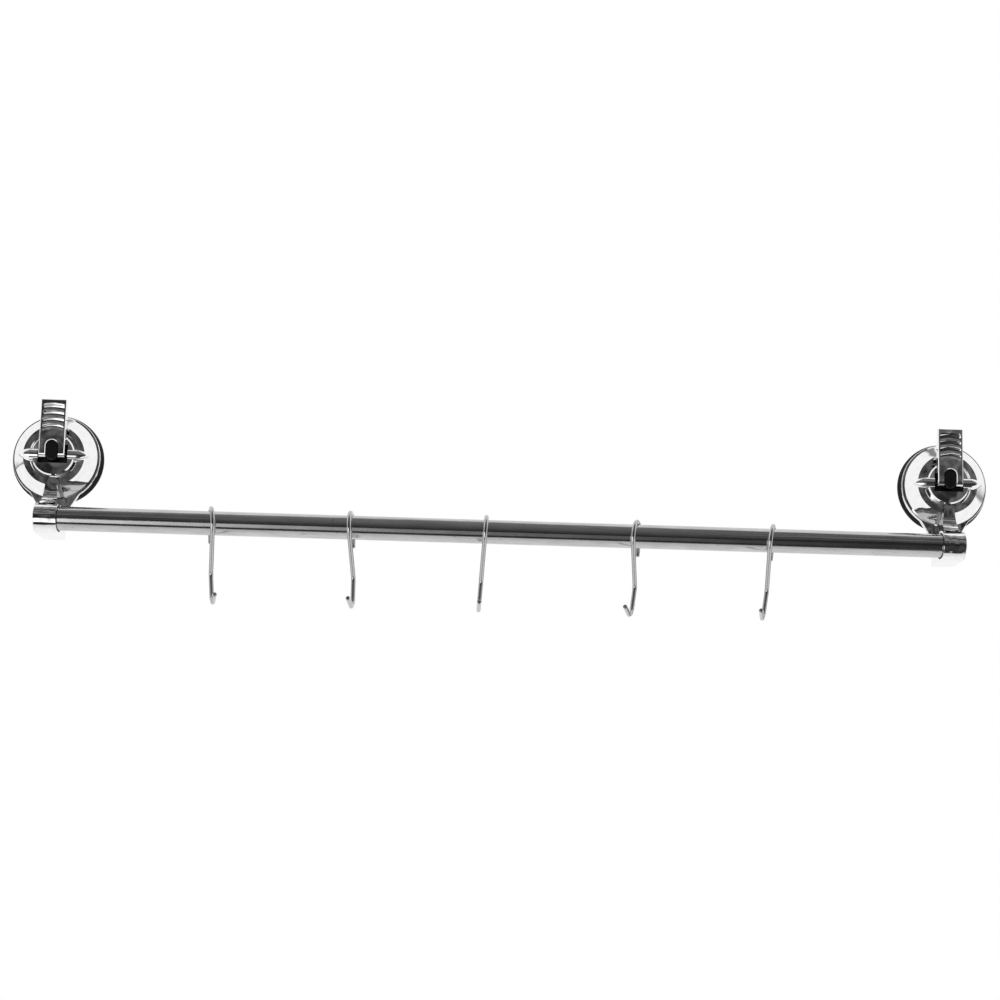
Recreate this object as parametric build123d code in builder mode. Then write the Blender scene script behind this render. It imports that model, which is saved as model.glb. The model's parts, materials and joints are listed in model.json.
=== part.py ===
from build123d import *
import os
from math import asin, cos, degrees, pi, radians, sin

os.makedirs("parts", exist_ok=True)

# Wall frame: X along the rod, +Y into the wall, +Z up, origin in the middle of the rod's axis.
# Depths are counted from the wall plane towards the viewer, all sizes in millimetres.

# Layout of the rail
cup_spacing = 602.0
wall_to_rod = 22.0
cup_height = 44.5

# General clearances
static_gap = 0.1
moving_gap = 0.3
pin_clearance = 0.04

# Rod and the sleeves that its ends stand in
rod_d = 16.0
rod_wall = 0.8
sleeve_wall = 0.7
sleeve_recess = 0.3
rod_end_gap = 0.5
rod_edge = 0.3

# Holder, the closed barrel that carries a rod end
holder_width = 15.0
holder_wall = 1.15
holder_end_wall = 2.4
holder_back_gap = 1.0
holder_edge = 0.5

# Suction cup
cup_r = 30.5
seal_width = 4.0
cup_edge_height = 1.4
cup_taper = 1.5
cup_thickness = 4.0
dome_depth = 0.8
membrane = 1.2
cup_boss_wall = 2.6
cup_boss_roof = 1.4

# Stud, pulled by the lever
stud_foot_r = 10.0
stud_foot_height = 1.8
stud_neck_r = 3.7
stud_width = 7.7
stud_up = 8.2
stud_down = 4.6
stud_front = 2.6
stud_edge = 0.6
stud_travel = 1.6

# Bracket plate under the cap
ring_r = 29.2
ring_thickness = 3.0
plate_waist_half = 18.7
plate_waist_drop = 20.0
plate_foot_half = 6.8
plate_foot_bite = 5.55
plate_corner = 7.0
ring_edge = 0.6

# Tongue that reaches over the cap's lower rim
tongue_width = 6.4
tongue_root_width = 11.0
tongue_top_drop = 15.6
tongue_thickness = 2.8
tongue_root_depth = 28.0
tongue_flare = 1.156566
tongue_corner = 1.6
tongue_bite = 1.0

# Cap
cap_r = 27.6
cap_rim_height = 1.6
cap_disc_r = 20.4
cap_disc_depth = 15.0
cap_wall = 1.7
boss_r = 14.4
boss_rise = 2.8
boss_crown = 0.3
boss_bevel = 0.9
groove_width = 1.2
groove_depth = 0.7
ridge_half_length = 22.9
ridge_r = 4.2
ridge_shoulder = 15.5
ridge_nose = 0.8
ridge_fullness = 0.72
ridge_foot = 2.4
pocket_width = 19.6
pocket_up = 6.6
pocket_down = 5.9
pocket_sink = 0.4
pad_thickness = 1.0

# Lever
lever_width = 17.0
lever_top = 36.4
lever_open = 100.0
cam_reach = 4.4
pin_d = 3.0
heel_rise = 2.3
leg_shoulder = 5.6
lever_back = 1.1
tip_thickness = 2.4
tip_taper_start = 27.0
tip_edge = 0.9
lever_edge = 0.5
slot_edge = 0.4
rim_width = 1.5
dish_depth = 1.5
dish_low = 15.4
dish_high = 32.8
dish_arch_r = 17.0
dish_top_slope = 1.5
grip_ribs = 3
grip_rib_rise = 0.7
arch_rise = 4.6

# Hooks, bent from round wire
wire_d = 3.0
wire_end_edge = 0.4
hook_turn_allowance = 0.3
back_tail = 11.6
kink_forward = -12.3
kink_drop = 31.8
kink_radius = 6.0
heel_forward = -8.4
heel_drop = 53.8
heel_radius = 8.5
tip_forward = 14.2
tip_drop = 49.4
hook_places = [-193.3, -101.1, -12.0, 88.7, 179.6]
hook_turns = [12.2, -4.8, -0.5, -16.9, -14.3]
hook_leans = [3.7, 1.8, -3.4, -4.8, -6.8]

# How far a cut runs past the faces that it opens
overshoot = 1.0

# Sizes that follow from the ones above
rod_r = rod_d / 2
wire_r = wire_d / 2
sleeve_in_r = rod_r + static_gap
sleeve_out_r = sleeve_in_r + sleeve_wall
bore_r = sleeve_out_r + static_gap
holder_r = bore_r + holder_wall
plate_foot_drop = cup_height - holder_r + plate_foot_bite
cup_x = cup_spacing / 2
bore_depth = holder_width - holder_end_wall
rod_length = cup_spacing - holder_width + 2 * (bore_depth - rod_end_gap)
cavity_r = stud_foot_r + moving_gap
cavity_floor = dome_depth + membrane
cavity_roof = cavity_floor + stud_foot_height + stud_travel + 2 * moving_gap
cup_boss_top = cavity_roof + cup_boss_roof
cup_boss_r = cavity_r + cup_boss_wall
ring_front = cup_thickness + ring_thickness
ring_hole_r = cup_boss_r + moving_gap
pocket_floor = cap_disc_depth - pocket_sink
pad_seat = pocket_floor - pad_thickness
pin_depth = pocket_floor + moving_gap + cam_reach
boss_front = cap_disc_depth + boss_rise
stud_foot_front = cavity_roof - moving_gap
cap_floor_back = pad_seat - cap_wall
cam_fall = stud_travel / radians(lever_open)
pin_r = pin_d / 2
pin_hole_r = pin_r + pin_clearance
hook_loop_r = rod_r + moving_gap + hook_turn_allowance + wire_r
hook_drop = hook_turn_allowance


def round_section(centre_x):
    """Plane of a turned profile: across is the radius, up is the depth from the wall."""
    return Plane(origin=(centre_x, wall_to_rod, cup_height), x_dir=(1, 0, 0), z_dir=(0, 0, -1))


def face_plane(centre_x, depth):
    """Plane parallel to the wall, centred on the cup, that faces the viewer."""
    return Plane(origin=(centre_x, wall_to_rod - depth, cup_height), x_dir=(1, 0, 0), z_dir=(0, -1, 0))


def side_plane(centre_x, height):
    """Plane across the rod: across is the depth from the wall, up is +Z."""
    return Plane(origin=(centre_x, wall_to_rod, height), x_dir=(0, -1, 0), z_dir=(-1, 0, 0))


def cup_axis(centre_x):
    return Axis((centre_x, wall_to_rod, cup_height), (0, -1, 0))


def keep(part, name):
    part.label = name
    export_step(part, f"parts/{name}.step")


def stud_outline(gap):
    """Upright oblong of the stud's head, grown by a gap all round."""
    with Locations((0, (stud_up - stud_down) / 2)):
        return SlotOverall(stud_up + stud_down + 2 * gap, stud_width + 2 * gap, rotation=90)


def make_rod():
    """Thin steel tube, with its edges just broken."""
    with BuildPart() as rod:
        with BuildSketch(Plane.YZ.offset(-rod_length / 2)):
            Circle(rod_r)
            Circle(rod_r - rod_wall, mode=Mode.SUBTRACT)
        extrude(amount=rod_length)
        chamfer(rod.faces().sort_by(Axis.X)[0].outer_wire().edges(), rod_edge)
        chamfer(rod.faces().sort_by(Axis.X)[-1].outer_wire().edges(), rod_edge)
    keep(rod.part, "rod")


def make_sleeve(side, sign):
    """Black sleeve that takes up the play between the rod's end and the holder."""
    mouth_x = sign * (cup_x - holder_width / 2 + sleeve_recess)
    with BuildPart() as sleeve:
        with BuildSketch(Plane.YZ.offset(mouth_x)):
            Circle(sleeve_out_r)
            Circle(sleeve_in_r, mode=Mode.SUBTRACT)
        extrude(amount=sign * (bore_depth - sleeve_recess - static_gap))
    keep(sleeve.part, f"{side}_rod_sleeve")


def make_suction_cup(side, centre_x):
    """Rubber disc with a flat seal, a hollow face and a boss that traps the stud's foot."""
    with BuildPart() as cup:
        with BuildSketch(round_section(centre_x)):
            with BuildLine():
                Polyline(
                    (0, dome_depth),
                    (cup_r - seal_width, 0),
                    (cup_r, 0),
                    (cup_r, cup_edge_height),
                    (cup_r - cup_taper, cup_thickness),
                    (cup_boss_r, cup_thickness),
                    (cup_boss_r, cup_boss_top),
                    (stud_neck_r + moving_gap, cup_boss_top),
                    (stud_neck_r + moving_gap, cavity_roof),
                    (cavity_r, cavity_roof),
                    (cavity_r, cavity_floor),
                    (0, cavity_floor),
                    (0, dome_depth),
                )
            make_face()
        revolve(axis=cup_axis(centre_x))
    keep(cup.part, f"{side}_suction_cup")


def make_stud(side, centre_x):
    """Black stud: a foot in the rubber, a round neck and an oblong head with a cross hole."""
    head_back = cap_floor_back - stud_travel
    head_front = pin_depth + stud_front
    with BuildPart() as stud:
        with BuildSketch(face_plane(centre_x, stud_foot_front - stud_foot_height)):
            Circle(stud_foot_r)
        extrude(amount=stud_foot_height)
        with BuildSketch(face_plane(centre_x, stud_foot_front)):
            Circle(stud_neck_r)
        extrude(amount=head_back - stud_foot_front)
        with BuildSketch(face_plane(centre_x, head_back)):
            stud_outline(0)
        extrude(amount=head_front - head_back)
        fillet(stud.faces().sort_by(Axis.Y)[0].edges(), stud_edge)
        with BuildSketch(side_plane(centre_x, cup_height)):
            with Locations((pin_depth, 0)):
                Circle(pin_hole_r)
        extrude(amount=stud_width, both=True, mode=Mode.SUBTRACT)
    keep(stud.part, f"{side}_stud")


def make_axle_pin(side, centre_x):
    with BuildPart() as pin:
        with BuildSketch(side_plane(centre_x, cup_height)):
            with Locations((pin_depth, 0)):
                Circle(pin_r)
        extrude(amount=lever_width / 2, both=True)
        chamfer(pin.edges().filter_by(GeomType.CIRCLE), pin_clearance * 5)
    keep(pin.part, f"{side}_axle_pin")


def make_barrel(sign):
    """Closed barrel for a rod end: round in front, flat above and below, rounded at its outer end."""
    with BuildPart() as barrel:
        with BuildSketch(side_plane(sign * cup_x, 0)):
            with Locations((wall_to_rod, 0)):
                Circle(holder_r)
            with Locations(((wall_to_rod + holder_back_gap) / 2, 0)):
                Rectangle(wall_to_rod - holder_back_gap, 2 * holder_r)
        extrude(amount=holder_width / 2, both=True)
        outer_end = barrel.faces().filter_by(Axis.X).sort_by(Axis.X)[-1 if sign > 0 else 0]
        fillet(outer_end.edges(), holder_edge)
    return barrel.part


def make_tongue(centre_x):
    """Gooseneck that grows out of the barrel, narrows and passes over the cap's rim."""
    plate_middle = ring_front - ring_thickness / 2
    root = holder_r - tongue_bite
    rim_line = cup_height - cap_r - static_gap * 3
    over_cap = cap_disc_depth + static_gap * 3
    front = over_cap + tongue_thickness
    top = cup_height - tongue_top_drop
    bend = root + tongue_flare * (tongue_root_depth - front)
    face = Plane(origin=(centre_x, wall_to_rod, 0), x_dir=(1, 0, 0), z_dir=(0, -1, 0))
    with BuildPart() as tongue:
        with BuildSketch(side_plane(centre_x, 0)):
            with BuildLine():
                Polyline(
                    (plate_middle, root),
                    (plate_middle, rim_line),
                    (ring_front + cap_rim_height, rim_line),
                    (over_cap, cup_height - cap_disc_r),
                    (over_cap, top),
                    (front, top),
                    (front, bend),
                )
                TangentArc((front, bend), (tongue_root_depth, root), tangent=(0, -1))
                Line((tongue_root_depth, root), (plate_middle, root))
            make_face()
        extrude(amount=tongue_root_width / 2, both=True)
        with BuildSketch(face) as outline:
            with BuildLine():
                Polyline(
                    (-tongue_root_width / 2, root),
                    (-tongue_width / 2, top),
                    (tongue_width / 2, top),
                    (tongue_root_width / 2, root),
                    close=True,
                )
            make_face()
            fillet(outline.vertices().group_by(Axis.Y)[-1], tongue_corner)
        extrude(amount=tongue_root_depth + overshoot, mode=Mode.INTERSECT)
    return tongue.part


def make_bracket(side, sign):
    """One casting: ring plate under the cap, waist, closed barrel for the rod and a tongue."""
    centre_x = sign * cup_x
    inner_x = centre_x - sign * holder_width / 2
    barrel = make_barrel(sign)
    tongue = make_tongue(centre_x)
    with BuildPart() as bracket:
        # Ring plate with its waist
        with BuildSketch(face_plane(centre_x, cup_thickness)) as plate:
            Circle(ring_r)
            with BuildLine():
                Polyline(
                    (-plate_waist_half, -plate_waist_drop),
                    (plate_waist_half, -plate_waist_drop),
                    (plate_foot_half, -plate_foot_drop),
                    (plate_foot_half, -cup_height),
                    (-plate_foot_half, -cup_height),
                    (-plate_foot_half, -plate_foot_drop),
                    close=True,
                )
            make_face()
            between = (plate_foot_half + plate_waist_half) / 2
            waist = plate.vertices().filter_by(lambda corner: abs(corner.X) > between)
            fillet(waist, plate_corner)
        extrude(amount=ring_thickness)
        fillet(bracket.faces().sort_by(Axis.Y)[0].outer_wire().edges(), ring_edge)
        with BuildSketch(face_plane(centre_x, cup_thickness)):
            Circle(ring_hole_r)
        extrude(amount=ring_thickness, mode=Mode.SUBTRACT)
        add(barrel)
        add(tongue)

        # Bore for the sleeve and the rod
        with BuildSketch(Plane.YZ.offset(inner_x)):
            Circle(bore_r)
        extrude(amount=sign * bore_depth, mode=Mode.SUBTRACT)
    keep(bracket.part, f"{side}_bracket")


def ridge_line():
    """Upper half of the ridge's outline, from one blunt nose to the other."""
    nose_x = (ridge_shoulder + ridge_half_length) / 2
    nose_r = ridge_nose + (ridge_r - ridge_nose) * ridge_fullness
    Line((-ridge_half_length, 0), (-ridge_half_length, ridge_nose))
    ThreePointArc((-ridge_half_length, ridge_nose), (-nose_x, nose_r), (-ridge_shoulder, ridge_r))
    Line((-ridge_shoulder, ridge_r), (ridge_shoulder, ridge_r))
    ThreePointArc((ridge_shoulder, ridge_r), (nose_x, nose_r), (ridge_half_length, ridge_nose))
    Line((ridge_half_length, ridge_nose), (ridge_half_length, 0))


def make_cap(side, centre_x):
    """Chromed cover: steep cone, flat disc, round boss and a blunt ridge split by a pocket."""
    with BuildPart() as cap:
        with BuildSketch(round_section(centre_x)):
            with BuildLine():
                Polyline(
                    (boss_r - boss_bevel, boss_front),
                    (boss_r, boss_front - boss_bevel),
                    (boss_r, cap_disc_depth - groove_depth),
                    (boss_r + groove_width, cap_disc_depth - groove_depth),
                    (boss_r + groove_width + groove_depth, cap_disc_depth),
                    (cap_disc_r, cap_disc_depth),
                    (cap_r, ring_front + cap_rim_height),
                    (cap_r, ring_front),
                    (cap_r - cap_wall, ring_front),
                    (cap_disc_r - cap_wall, cap_floor_back),
                    (0, cap_floor_back),
                    (0, boss_front + boss_crown),
                )
                ThreePointArc(
                    (0, boss_front + boss_crown),
                    (boss_r / 2, boss_front + boss_crown * 0.75),
                    (boss_r - boss_bevel, boss_front),
                )
            make_face()
        revolve(axis=cup_axis(centre_x))

        # Ridge: half of a round bar with tapered ends, on a foot that reaches the cone
        with BuildSketch(face_plane(centre_x, cap_disc_depth)):
            with BuildLine():
                ridge_line()
                Line((ridge_half_length, 0), (-ridge_half_length, 0))
            make_face()
        ridge_axis = Axis((centre_x, wall_to_rod - cap_disc_depth, cup_height), (1, 0, 0))
        revolve(axis=ridge_axis, revolution_arc=180)
        with BuildSketch(face_plane(centre_x, cap_disc_depth)):
            with BuildLine():
                ridge_line()
                mirror(about=Plane.XZ)
            make_face()
        extrude(amount=-ridge_foot)

        # Pocket for the cam pad and the lever's feet, and the oblong hole for the stud
        with BuildSketch(face_plane(centre_x, pad_seat)):
            with Locations((0, (pocket_up - pocket_down) / 2)):
                Rectangle(pocket_width, pocket_up + pocket_down)
        extrude(amount=boss_front + ridge_r - pad_seat, mode=Mode.SUBTRACT)
        with BuildSketch(face_plane(centre_x, cap_floor_back)):
            stud_outline(moving_gap)
        extrude(amount=boss_front + ridge_r - cap_floor_back, mode=Mode.SUBTRACT)
    keep(cap.part, f"{side}_cap")


def make_cam_pad(side, centre_x):
    """Black plate that lines the pocket, so that the lever's feet don't wear the chrome."""
    with BuildPart() as pad:
        with BuildSketch(face_plane(centre_x, pad_seat)):
            with Locations((0, (pocket_up - pocket_down) / 2)):
                Rectangle(pocket_width - 2 * static_gap, pocket_up + pocket_down - 2 * static_gap)
        extrude(amount=pad_thickness)
        with BuildSketch(face_plane(centre_x, pad_seat)):
            stud_outline(moving_gap)
        extrude(amount=pad_thickness, mode=Mode.SUBTRACT)
    keep(pad.part, f"{side}_cam_pad")


def cam_point(turn):
    """Foot outline: its reach towards the cap falls evenly as the lever opens."""
    reach = cam_reach - cam_fall * turn
    depth = pin_depth - reach * cos(turn) - cam_fall * sin(turn)
    height = -reach * sin(turn) + cam_fall * cos(turn)
    return (depth, height)


def make_grip_cutter(centre_x, front):
    """Thumb dish with arched ribs on its floor, as the shape that is cut out of the lever."""
    floor = front - dish_depth
    rib_pitch = (dish_high - dish_low) / (grip_ribs + 1)
    arch_middle = cup_height + dish_low - dish_arch_r
    with BuildPart() as cutter:
        with BuildSketch(side_plane(centre_x, cup_height)):
            with BuildLine():
                Line((front, dish_low), (floor, dish_low + rib_pitch * 0.25))
                for rib in range(grip_ribs + 1):
                    low = dish_low + rib_pitch * (rib + (0.25 if rib == 0 else 0))
                    high = dish_low + rib_pitch * (rib + 1)
                    ThreePointArc((floor, low), (floor - grip_rib_rise, (low + high) / 2), (floor, high))
                Polyline(
                    (floor, dish_high),
                    (front + overshoot, dish_high + dish_top_slope),
                    (front + overshoot, dish_low),
                    (front, dish_low),
                )
            make_face()
        revolve(axis=Axis((centre_x, wall_to_rod, arch_middle), (0, -1, 0)))
        with BuildSketch(face_plane(centre_x, floor - grip_rib_rise - overshoot)):
            with Locations((0, lever_top / 2 + dish_low / 2)):
                Rectangle(lever_width - 2 * rim_width, lever_top)
        extrude(amount=dish_depth + grip_rib_rise + 2 * overshoot, mode=Mode.INTERSECT)
    return cutter.part


def slot_outline(grow):
    """Arched outline of the slot between the lever's legs, open downwards."""
    half = stud_width / 2 + moving_gap + grow
    with Locations((0, arch_rise / 2 - lever_top / 2)):
        Rectangle(2 * half, arch_rise + lever_top)
    with Locations((0, arch_rise)):
        Circle(half)


def make_lever(side, centre_x):
    """Forked lever: two cam feet, an arched slot for the stud and a dished grip."""
    opened = radians(lever_open)
    cam_end = cam_point(opened)
    toe_r = ((cam_end[0] - pin_depth) ** 2 + cam_end[1] ** 2) ** 0.5
    front = pin_depth + toe_r
    back = pin_depth - lever_back
    heel = pin_depth - cam_reach
    toe_middle = (pin_depth + toe_r * sin(pi / 4), -toe_r * cos(pi / 4))
    tip_middle = tip_edge * (1 - sin(pi / 4))
    cutter = make_grip_cutter(centre_x, front)
    with BuildPart() as lever:
        with BuildSketch(side_plane(centre_x, cup_height)):
            with BuildLine():
                Spline(*[cam_point(opened * step / 6) for step in range(7)])
                ThreePointArc(cam_end, toe_middle, (front, 0))
                Line((front, 0), (front, lever_top - tip_edge))
                ThreePointArc(
                    (front, lever_top - tip_edge),
                    (front - tip_middle, lever_top - tip_middle),
                    (front - tip_edge, lever_top),
                )
                Polyline(
                    (front - tip_edge, lever_top),
                    (front - tip_thickness, lever_top),
                    (back, tip_taper_start),
                    (back, leg_shoulder),
                    (heel, heel_rise),
                    cam_point(0),
                )
            make_face()
        extrude(amount=lever_width / 2, both=True)

        # Bevels down the two long edges of the front
        with BuildSketch(Plane.XY.offset(cup_height - toe_r)):
            for half in (-lever_width / 2, lever_width / 2):
                with Locations((centre_x + half, wall_to_rod - front)):
                    RegularPolygon(lever_edge, 4)
        extrude(amount=toe_r + lever_top, mode=Mode.SUBTRACT)

        # Arched slot between the two legs, with a bevelled mouth
        with BuildSketch(face_plane(centre_x, heel - overshoot)):
            slot_outline(0)
        extrude(amount=front - heel + 2 * overshoot, mode=Mode.SUBTRACT)
        with BuildSketch(face_plane(centre_x, front)):
            slot_outline(slot_edge)
        extrude(amount=-slot_edge, taper=45, mode=Mode.SUBTRACT)

        # Dish for the thumb, and the hole for the axle pin
        add(cutter, mode=Mode.SUBTRACT)
        with BuildSketch(side_plane(centre_x, cup_height)):
            with Locations((pin_depth, 0)):
                Circle(pin_hole_r)
        extrude(amount=lever_width, both=True, mode=Mode.SUBTRACT)
    keep(lever.part, f"{side}_lever")


def make_hook(number, place, turn, lean):
    """Open hook of round wire: a hoop over the rod, a slanting shank, a kink and a hook."""
    # The hook's own plane, turned about the upright and leaning along the rod.
    forward = Vector(0, -1, 0).rotate(Axis.Z, turn)
    across = Vector(1, 0, 0).rotate(Axis.Z, turn)
    upright = Vector(0, 0, 1).rotate(Axis((0, 0, 0), forward), lean)
    normal = forward.cross(upright)
    hook_plane = Plane(origin=(place, 0, -hook_drop), x_dir=forward, z_dir=normal)

    # The shank leaves the hoop as a tangent that points at the kink.
    reach = (kink_forward**2 + kink_drop**2) ** 0.5
    from_axis = degrees(asin(hook_loop_r / reach))
    kink_angle = degrees(asin(-kink_forward / reach))
    leave = radians(from_axis + kink_angle)
    leave_point = (hook_loop_r * cos(leave), -hook_loop_r * sin(leave))
    with BuildPart() as hook:
        with BuildLine(hook_plane) as path:
            Line((-hook_loop_r, -back_tail), (-hook_loop_r, 0))
            ThreePointArc((-hook_loop_r, 0), (0, hook_loop_r), leave_point)
            FilletPolyline(
                leave_point,
                (kink_forward, -kink_drop),
                (heel_forward, -heel_drop),
                (tip_forward, -tip_drop),
                radius=[kink_radius, heel_radius],
            )
        start = hook_plane.from_local_coords((-hook_loop_r, -back_tail))
        with BuildSketch(Plane(origin=start, z_dir=upright)):
            Circle(wire_r)
        sweep(path=path.wires()[0])
        chamfer(hook.faces().filter_by(GeomType.PLANE).edges(), wire_end_edge)
    keep(hook.part, f"hook_{number}")


make_rod()
for side, sign in (("left", -1), ("right", 1)):
    make_suction_cup(side, sign * cup_x)
    make_stud(side, sign * cup_x)
    make_axle_pin(side, sign * cup_x)
    make_bracket(side, sign)
    make_sleeve(side, sign)
    make_cap(side, sign * cup_x)
    make_cam_pad(side, sign * cup_x)
    make_lever(side, sign * cup_x)
for number, (place, turn, lean) in enumerate(zip(hook_places, hook_turns, hook_leans), start=1):
    make_hook(number, place, turn, lean)
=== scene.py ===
# %% [markdown]
# A wall rail with five wire hooks. Each end is held by a suction cup under a chromed cap, and a
# small forked lever on the cap pulls the cup tight. It is steel, chrome, nylon and firm rubber.
# The construction already has its real shape and size, so this lesson gives it its finishes,
# the light that chrome needs, and the camera of the photograph.
# The first lines load the construction as a fixed frame. Nothing in it is moved later.

# %% Load the frame
import json
import math

import bmesh
import bpy
from mathutils import Matrix, Vector


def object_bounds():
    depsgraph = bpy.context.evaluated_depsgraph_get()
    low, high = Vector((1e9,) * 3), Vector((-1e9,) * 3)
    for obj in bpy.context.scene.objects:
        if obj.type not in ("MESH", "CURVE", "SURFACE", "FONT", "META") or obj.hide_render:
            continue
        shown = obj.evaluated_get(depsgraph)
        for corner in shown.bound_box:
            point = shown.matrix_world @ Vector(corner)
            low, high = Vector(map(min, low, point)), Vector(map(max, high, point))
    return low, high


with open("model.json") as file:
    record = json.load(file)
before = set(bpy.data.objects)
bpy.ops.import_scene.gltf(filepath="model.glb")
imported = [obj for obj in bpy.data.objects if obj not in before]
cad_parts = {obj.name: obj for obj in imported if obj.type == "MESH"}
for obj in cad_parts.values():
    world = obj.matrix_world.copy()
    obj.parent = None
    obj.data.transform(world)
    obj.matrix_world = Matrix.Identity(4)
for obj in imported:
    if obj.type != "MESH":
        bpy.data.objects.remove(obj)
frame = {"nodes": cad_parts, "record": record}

cad_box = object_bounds()
print("pieces in the frame:", len(frame["nodes"]))
print("whole rail in mm:", [round(1000 * side) for side in cad_box[1] - cad_box[0]])

# %% [markdown]
# The camera. The photographer stood a good metre in front of the wall, below the rail, and looked
# up a little. Moving a camera about by eye is one way. Here its place, its angles and its lens
# were solved from corners of the construction and the same corners in the photograph, which
# brings the two over each other to about two pixels. The uprights hardly lean together in the
# picture, so a part of the tilt is taken as a shift of the lens.

# %% Photographer's camera
PHOTO_WIDTH = 1000
LENS_PX = 1648
LENS_SHIFT = 0.18
SENSOR_MM = 36
STAND = Vector((-0.034, -1.076, -0.230))
LOOKS_UP = 6.94
LOOKS_RIGHT = 1.82
ROLLED = 1.40


def photographer():
    """Camera that stood where the photograph was taken from."""
    data = bpy.data.cameras.new("camera")
    data.sensor_width = SENSOR_MM
    data.lens = SENSOR_MM * LENS_PX / PHOTO_WIDTH
    data.shift_y = LENS_SHIFT
    camera = bpy.data.objects.new("camera", data)
    bpy.context.scene.collection.objects.link(camera)
    turns = ((-LOOKS_RIGHT, "Z"), (90 + LOOKS_UP, "X"), (ROLLED, "Z"))
    placed = Matrix.Translation(STAND)
    for angle, axis in turns:
        placed = placed @ Matrix.Rotation(math.radians(angle), 4, axis)
    camera.matrix_world = placed
    bpy.context.scene.camera = camera
    return camera


camera = photographer()
wall_y = cad_box[1].y
print("camera to wall in m:", round(wall_y - camera.matrix_world.translation.y, 3))

# %% [markdown]
# Shader maths reads best as plain arithmetic. A node tree is a list of boxes and wires, and this
# small class stands for one wire: `1 - mask` or `height * 0.3` adds the Math node by itself.
# Every other node comes from one method, which sets the node's own settings before its sockets.

# %% Wires that do arithmetic
class Wire:
    """One socket of a node tree. Arithmetic on it adds Math nodes to that tree."""

    def __init__(self, tree, socket=None):
        self.tree = tree
        self.socket = socket

    def node(self, kind, settings=None, sockets=None, out=0):
        """Adds a node: its settings first, then the values or the wires of its sockets."""
        made = self.tree.nodes.new(kind)
        for name, value in (settings or {}).items():
            if name == "stops":
                ramp = made.color_ramp.elements
                while len(ramp) < len(value):
                    ramp.new(1)
                for stop, (position, colour) in zip(ramp, value):
                    stop.position = position
                    stop.color = colour
            else:
                setattr(made, name, value)
        for name, value in (sockets or {}).items():
            if isinstance(value, Wire):
                self.tree.links.new(value.socket, made.inputs[name])
            else:
                made.inputs[name].default_value = value
        return Wire(self.tree, made.outputs[out] if made.outputs else None)

    def maths(self, operation, *values):
        return self.node("ShaderNodeMath", {"operation": operation}, dict(enumerate(values)))

    def __add__(self, other):
        return self.maths("ADD", self, other)

    def __radd__(self, other):
        return self.maths("ADD", other, self)

    def __sub__(self, other):
        return self.maths("SUBTRACT", self, other)

    def __rsub__(self, other):
        return self.maths("SUBTRACT", other, self)

    def __mul__(self, other):
        return self.maths("MULTIPLY", self, other)

    def __rmul__(self, other):
        return self.maths("MULTIPLY", other, self)


def step(wire, low, high):
    """Runs smoothly from 0 to 1 as the wire goes from low to high."""
    ends = {"Value": wire, "From Min": low, "From Max": high}
    return wire.node("ShaderNodeMapRange", {"interpolation_type": "SMOOTHSTEP"}, ends)


def grey(value):
    return (value, value, value, 1)


print("a wire takes + - and * with a number or a wire, on either side")

# %% [markdown]
# Chrome has hardly a colour of its own: it shows the room. The rod in the photograph is a good
# map of that room, because a round bar mirrors every height around it. From top to bottom it
# shows a pale wall, a wide dark grey, a black line, a window that lies low and to the left, and
# a pale floor. Lamps could be hung for each of these; painting the sky by direction is simpler
# and gives the bands their clean edges. Each pair below is an angle round the rod in degrees,
# with 0 towards the viewer, 90 up and 180 into the wall, and the brightness at that angle.

# %% Room in front, in bands
HALF_TURN = 180
FULL_TURN = 360
ROOM_BANDS = [
    (-180, 1.0),
    (-110, 1.0),
    (-67, 0.75),
    (-62, 0.05),
    (-45, 0.02),
    (-6, 0.02),
    (-2, 0.045),
    (14, 0.085),
    (30, 0.14),
    (60, 0.2),
    (92, 0.26),
    (97, 0.6),
    (110, 1.0),
    (180, 1.0),
]


def by_angle(turn, bands):
    """Grey that follows the bands as the turn goes from 0 to 1 round the rod."""
    stops = [((angle + HALF_TURN) / FULL_TURN, grey(value)) for angle, value in bands]
    return turn.node("ShaderNodeValToRGB", {"stops": stops}, {0: turn})


print("bands in the room:", len(ROOM_BANDS))

# %% [markdown]
# The window shows on the rod as one bright line that fades from left to right. A lamp would give
# a bright spot. Here the line is a narrow band of angles, and its light falls by the same factor
# for every equal step to the right, about as the line in the photograph does.

# %% Window that lies low and to the left
WINDOW_LOW = -43
WINDOW_HIGH = -13
WINDOW_EDGE = 3
WINDOW_MIDDLE_LOG = -1.3
WINDOW_FALL = 6.5
WINDOW_MOST = 1.7


def window_light(height, x):
    """Light of the window by the angle in degrees and by how far right the direction points."""
    above_sill = step(height, WINDOW_LOW - WINDOW_EDGE, WINDOW_LOW)
    below_top = 1 - step(height, WINDOW_HIGH, WINDOW_HIGH + WINDOW_EDGE)
    glow = x.maths("EXPONENT", WINDOW_MIDDLE_LOG - WINDOW_FALL * x)
    return above_sill * below_top * x.maths("MINIMUM", glow, WINDOW_MOST)


print("window from", -WINDOW_HIGH, "to", -WINDOW_LOW, "degrees below the level of the rod")

# %% [markdown]
# The caps and levers look to the sides as well, and there the photograph's chrome is mostly
# white. So white walls stand left and right of the room. How far aside they begin changes with
# the angle: they leave the front dark, which draws the caps' dark discs, and close in above and
# below. Behind the rail they lie in their own shade, or the backs of the units would be lost
# against the white. Plain dark chrome looks like black plastic, so light and dark patches break
# it up where the room is dark, as the things beside a camera do.

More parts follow.
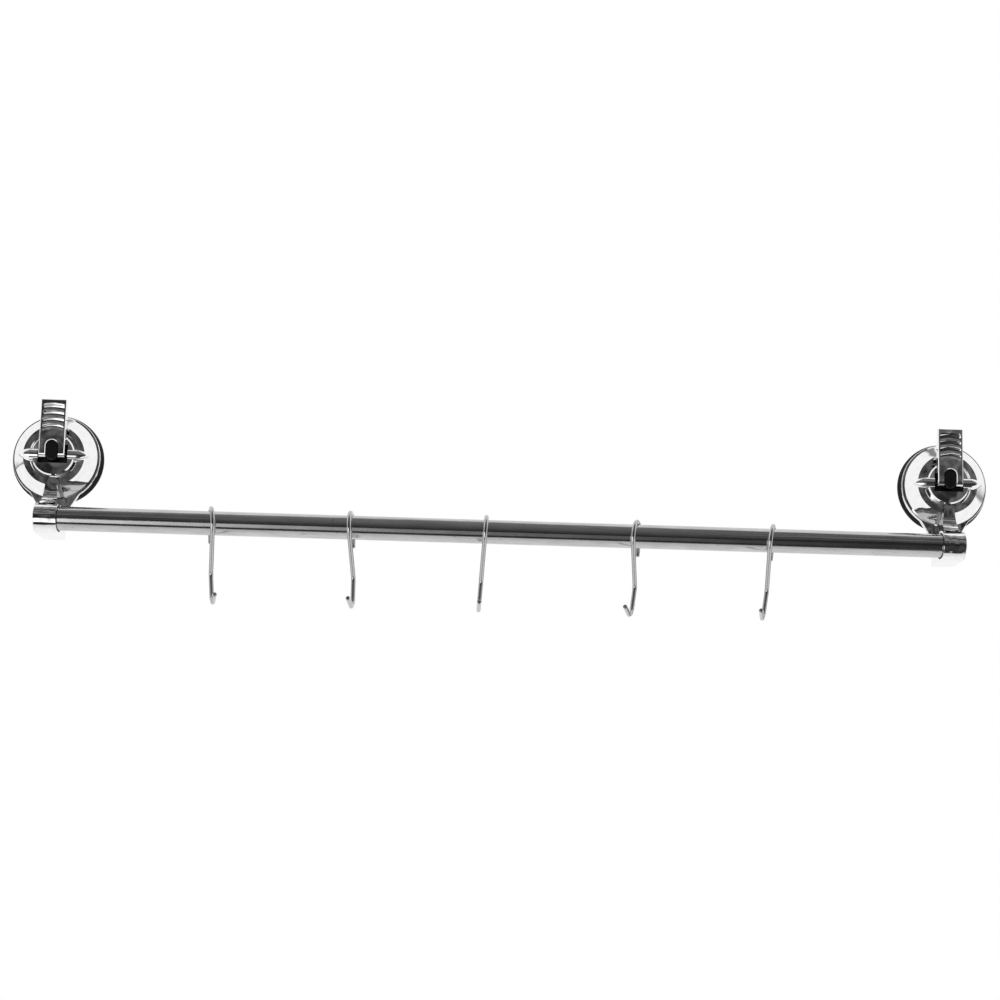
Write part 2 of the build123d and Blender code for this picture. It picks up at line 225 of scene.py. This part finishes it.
# %% White walls and the things beside the camera
WALL_BEGINS = [
    (-180, 0.45),
    (-150, 0.45),
    (-110, 0.3),
    (-50, 0.3),
    (-30, 0.72),
    (-12, 0.8),
    (10, 0.83),
    (40, 0.8),
    (60, 0.68),
    (72, 0.45),
    (86, 0.12),
    (94, 0.0),
    (130, 0.0),
    (150, 0.45),
]
WALL_TONES = [(-180, 0.3), (-150, 0.42), (-120, 1.0), (130, 1.0), (155, 0.5), (180, 0.3)]
WALL_SOFTNESS = 0.08
THING_SCALE = 8.0
THING_EDGES = (0.35, 0.65)
THINGS_BEGIN = (0.1, 0.22)
THING_CONTRAST = 0.75
DARK_ROOM_ENDS = (0.25, 0.5)


def with_things(room, way, aside):
    """The room with light and dark patches on its dark part, away from the middle."""
    noise = way.node("ShaderNodeTexNoise", {}, {"Vector": way, "Scale": THING_SCALE, "Detail": 1.0})
    dark_part = 1 - step(room, *DARK_ROOM_ENDS)
    patches = (step(noise, *THING_EDGES) * 2 - 1) * step(aside, *THINGS_BEGIN) * dark_part
    return room * (1 + THING_CONTRAST * patches)


wall_shares = [share for _, share in WALL_BEGINS]
print("white walls begin", min(wall_shares), "to", max(wall_shares), "of the way to the side")

# %% [markdown]
# Now the sky is put together: the room with its things, the window over it, and the white walls
# in front of both. All of this is only for mirrors and for light. Where the camera looks past
# the rail it sees plain white, as in the photograph.

# %% Studio light that the chrome mirrors
def studio_sky():
    world = bpy.data.worlds.new("studio")
    world.use_nodes = True
    world.node_tree.nodes.clear()
    bench = Wire(world.node_tree)
    way = bench.node("ShaderNodeTexCoord", out="Generated")
    x, y, z = [way.node("ShaderNodeSeparateXYZ", {}, {0: way}, out=axis) for axis in "XYZ"]
    height = way.maths("ARCTAN2", z, 0 - y) * math.degrees(1)
    turn = (height + HALF_TURN) * (1 / FULL_TURN)
    aside = way.maths("ABSOLUTE", x)
    room = with_things(by_angle(turn, ROOM_BANDS), way, aside)
    front = way.maths("MAXIMUM", room, window_light(height, x))
    side = step(aside - by_angle(turn, WALL_BEGINS), 0, WALL_SOFTNESS)
    mirrored = front * (1 - side) + by_angle(turn, WALL_TONES) * side
    seen = way.node("ShaderNodeLightPath", out="Is Camera Ray")
    light = way.maths("MAXIMUM", mirrored * (1 - seen), seen)
    sky = way.node("ShaderNodeBackground", {}, {"Color": light, "Strength": 1.0})
    way.node("ShaderNodeOutputWorld", {}, {"Surface": sky})
    bpy.context.scene.world = world
    return world


sky = studio_sky()
bpy.context.scene.view_settings.view_transform = "Standard"
print("nodes in the sky:", len(sky.node_tree.nodes))

# %% [markdown]
# Every finish below starts the same way: an empty material, a Principled shader, and a short
# function that fills its sockets. Places on the metal come from object coordinates, in metres,
# so the grain stays on a lever when the lever turns. Image textures would be another way, but
# noise has no seams and needs no unwrapping.

# %% A material from a short function
METAL = 1
NOT_METAL = 0
EVEN = (1, 1, 1)
finishes = {}


def mixed(mask, low, high):
    """Colour that goes from low to high with the mask."""
    return mask.node("ShaderNodeMix", {"data_type": "RGBA"}, {0: mask, 6: low, 7: high}, out=2)


def clouds(place, scale, detail=2, roughness=0.5, stretch=EVEN):
    """Soft noise; a stretch below 1 along an axis draws it out along that axis."""
    drawn = place.node("ShaderNodeVectorMath", {"operation": "MULTIPLY"}, {0: place, 1: stretch})
    sockets = {"Vector": drawn, "Scale": scale, "Detail": detail, "Roughness": roughness}
    return place.node("ShaderNodeTexNoise", {}, sockets)


def bumped(height, depth, strength=1.0):
    """Normal of a surface whose relief is as deep as that, in metres."""
    sockets = {"Height": height, "Distance": depth, "Strength": strength}
    return height.node("ShaderNodeBump", {}, sockets)


def finish(name, metallic, paint):
    """Makes a material; paint(place) returns what its shader's sockets get."""
    material = bpy.data.materials.new(name)
    material.use_nodes = True
    material.node_tree.nodes.clear()
    bench = Wire(material.node_tree)
    place = bench.node("ShaderNodeTexCoord", out="Object")
    surface = bench.node("ShaderNodeBsdfPrincipled", {}, {"Metallic": metallic, **paint(place)})
    bench.node("ShaderNodeOutputMaterial", {}, {"Surface": surface})
    print(name, "has", len(material.node_tree.nodes), "nodes")
    return material


print("finishes made so far:", len(finishes))

# %% [markdown]
# A pale floor lies well below the rail, and one wide soft lamp stands in front and to the left.
# The lamp is for the rubber and the floor; chrome would show it as a hard disc, so mirrors
# don't see it, and they don't see the floor either: the painted sky already holds their room.
# The lamp alone leaves a floor this far down grey, and a stronger one would also brighten the
# black rubber, so the floor glows a little by itself.

# %% Floor and soft lamp
FLOOR_DROP = 1.6
FLOOR_RADIUS = 2.2
FLOOR_CORNERS = 96
LAMP_PLACE = Vector((-0.8, -1.4, 1.2))
LAMP_WIDTH = 1.2
LAMP_WATTS = 12


def floor_paint(place):
    cloud = clouds(place, scale=3, detail=3)
    return {
        "Base Color": mixed(cloud, grey(0.93), grey(0.96)),
        "Roughness": 0.8 + 0.1 * cloud,
        "Emission Color": mixed(cloud, grey(0.2), grey(0.22)),
        "Emission Strength": 1.0,
    }


def pale_floor():
    shape = bmesh.new()
    bmesh.ops.create_circle(shape, cap_ends=True, segments=FLOOR_CORNERS, radius=FLOOR_RADIUS)
    mesh = bpy.data.meshes.new("floor")
    shape.to_mesh(mesh)
    shape.free()
    mesh.materials.append(finish("floor_paint", NOT_METAL, floor_paint))
    floor = bpy.data.objects.new("floor", mesh)
    floor.location = (0, 0, -FLOOR_DROP)
    bpy.context.scene.collection.objects.link(floor)
    floor.visible_glossy = False


def soft_lamp():
    data = bpy.data.lights.new("lamp", "AREA")
    data.shape = "DISK"
    data.size = LAMP_WIDTH
    data.energy = LAMP_WATTS
    lamp = bpy.data.objects.new("lamp", data)
    lamp.location = LAMP_PLACE
    lamp.rotation_euler = (-LAMP_PLACE).to_track_quat("-Z", "Y").to_euler()
    lamp.visible_glossy = False
    bpy.context.scene.collection.objects.link(lamp)


pale_floor()
soft_lamp()
print("floor", FLOOR_DROP, "m below the rod, lamp", round(LAMP_PLACE.length, 2), "m from its middle")

# %% [markdown]
# The rod is stainless tube, polished along its length on a belt. Belt grain is thousands of fine
# scratches that all run the same way, so the noise is drawn out along the rod. A few deeper
# scratches and pits show in the pale band under the rod, where the photograph is mottled.

# %% Rod: belt-polished steel tube
def tube_steel(place):
    grain = clouds(place, scale=2600, detail=3, stretch=(0.02, 1, 1))
    patches = clouds(place, scale=220, detail=4, roughness=0.65, stretch=(0.25, 1, 1))
    pits = step(clouds(place, scale=900, stretch=(0.3, 1, 1)), low=0.66, high=0.74)
    tone = grain * 0.35 + patches * 0.65
    colour = mixed(step(tone, low=0.3, high=0.7), grey(0.46), grey(0.6))
    return {
        "Base Color": mixed(pits, colour, grey(0.34)),
        "Roughness": 0.1 + 0.08 * patches + 0.12 * pits,
        "Normal": bumped(grain, depth=0.00001, strength=0.35),
    }


finishes["brushed_steel"] = finish("belt_polished_tube", METAL, tube_steel)

# %% [markdown]
# Chrome plate is only as flat as what lies under it. The holders are cast, so their mirror waves
# a little, and the levers and caps are smoother. The bent wire shows darker and hazier in the
# photograph, with small waves close together. One function makes them all: how deep the mirror
# waves, how close the waves are, and how bright and how hazy the plate is.

# %% Chrome plate, from cast to drawn
def chrome(wave, wave_scale, shine, haze):
    def paint(place):
        swell = clouds(place, scale=wave_scale, detail=1)
        smudge = clouds(place, scale=wave_scale * 3, detail=4, roughness=0.6)
        specks = step(clouds(place, scale=2200, detail=1), low=0.7, high=0.78)
        clean = mixed(step(smudge, low=0.35, high=0.7), grey(shine), grey(shine * 0.93))
        return {
            "Base Color": mixed(specks, clean, grey(shine * 0.7)),
            "Roughness": haze + 0.05 * step(smudge, low=0.45, high=0.8) + 0.2 * specks,
            "Normal": bumped(swell, depth=wave),
        }

    return paint


PLATES = {
    "casting": chrome(wave=0.0004, wave_scale=110, shine=0.9, haze=0.03),
    "cap": chrome(wave=0.0003, wave_scale=90, shine=0.92, haze=0.03),
    "lever": chrome(wave=0.0003, wave_scale=100, shine=0.9, haze=0.03),
    "wire": chrome(wave=0.00006, wave_scale=400, shine=0.52, haze=0.12),
}
for base, paint in PLATES.items():
    finishes["chrome_" + base] = finish("plated_" + base, METAL, paint)

# %% [markdown]
# The suction cups are soft black rubber with a bloom of dust, and the studs, sleeves and pads
# are black nylon with the fine grain of a spark-eroded mould. Black needs some variation in its
# gloss more than in its colour, or it reads as a hole in the picture. The axle pins are turned
# steel, with fine rings across their length.

# %% Rubber, nylon and the plain steel pin
def rubber(place):
    bloom = clouds(place, scale=260, detail=4, roughness=0.6)
    grain = clouds(place, scale=3200)
    return {
        "Base Color": mixed(step(bloom, low=0.35, high=0.75), grey(0.003), grey(0.008)),
        "Specular IOR Level": 0.22,
        "Roughness": 0.45 + 0.25 * bloom,
        "Normal": bumped(grain, depth=0.00003, strength=0.5),
    }


def nylon(place):
    grain = clouds(place, scale=4200, detail=3)
    scuff = clouds(place, scale=500, detail=3)
    return {
        "Base Color": mixed(scuff, grey(0.003), grey(0.008)),
        "Specular IOR Level": 0.3,
        "Roughness": 0.34 + 0.2 * scuff,
        "Normal": bumped(grain, depth=0.00002, strength=0.4),
    }


def pin_steel(place):
    turned = clouds(place, scale=5200, stretch=(1, 0.2, 0.2))
    return {
        "Base Color": mixed(turned, grey(0.42), grey(0.56)),
        "Roughness": 0.2 + 0.12 * turned,
        "Normal": bumped(turned, depth=0.000008, strength=0.5),
    }


finishes["steel_pin"] = finish("ground_pin", METAL, pin_steel)
finishes["black_rubber"] = finish("cup_rubber", NOT_METAL, rubber)
finishes["black_plastic"] = finish("black_nylon", NOT_METAL, nylon)

# %% [markdown]
# Now each piece gets its finish by the material slot that its record names. Dressing the pieces
# one by one is longer, and left and right could come out unlike. The shapes stay the
# construction's own.

# %% Dress every piece
for part in frame["record"]["subparts"]:
    for slot in frame["nodes"][part["node"]].material_slots:
        slot.material = finishes[part["material_slot"]]
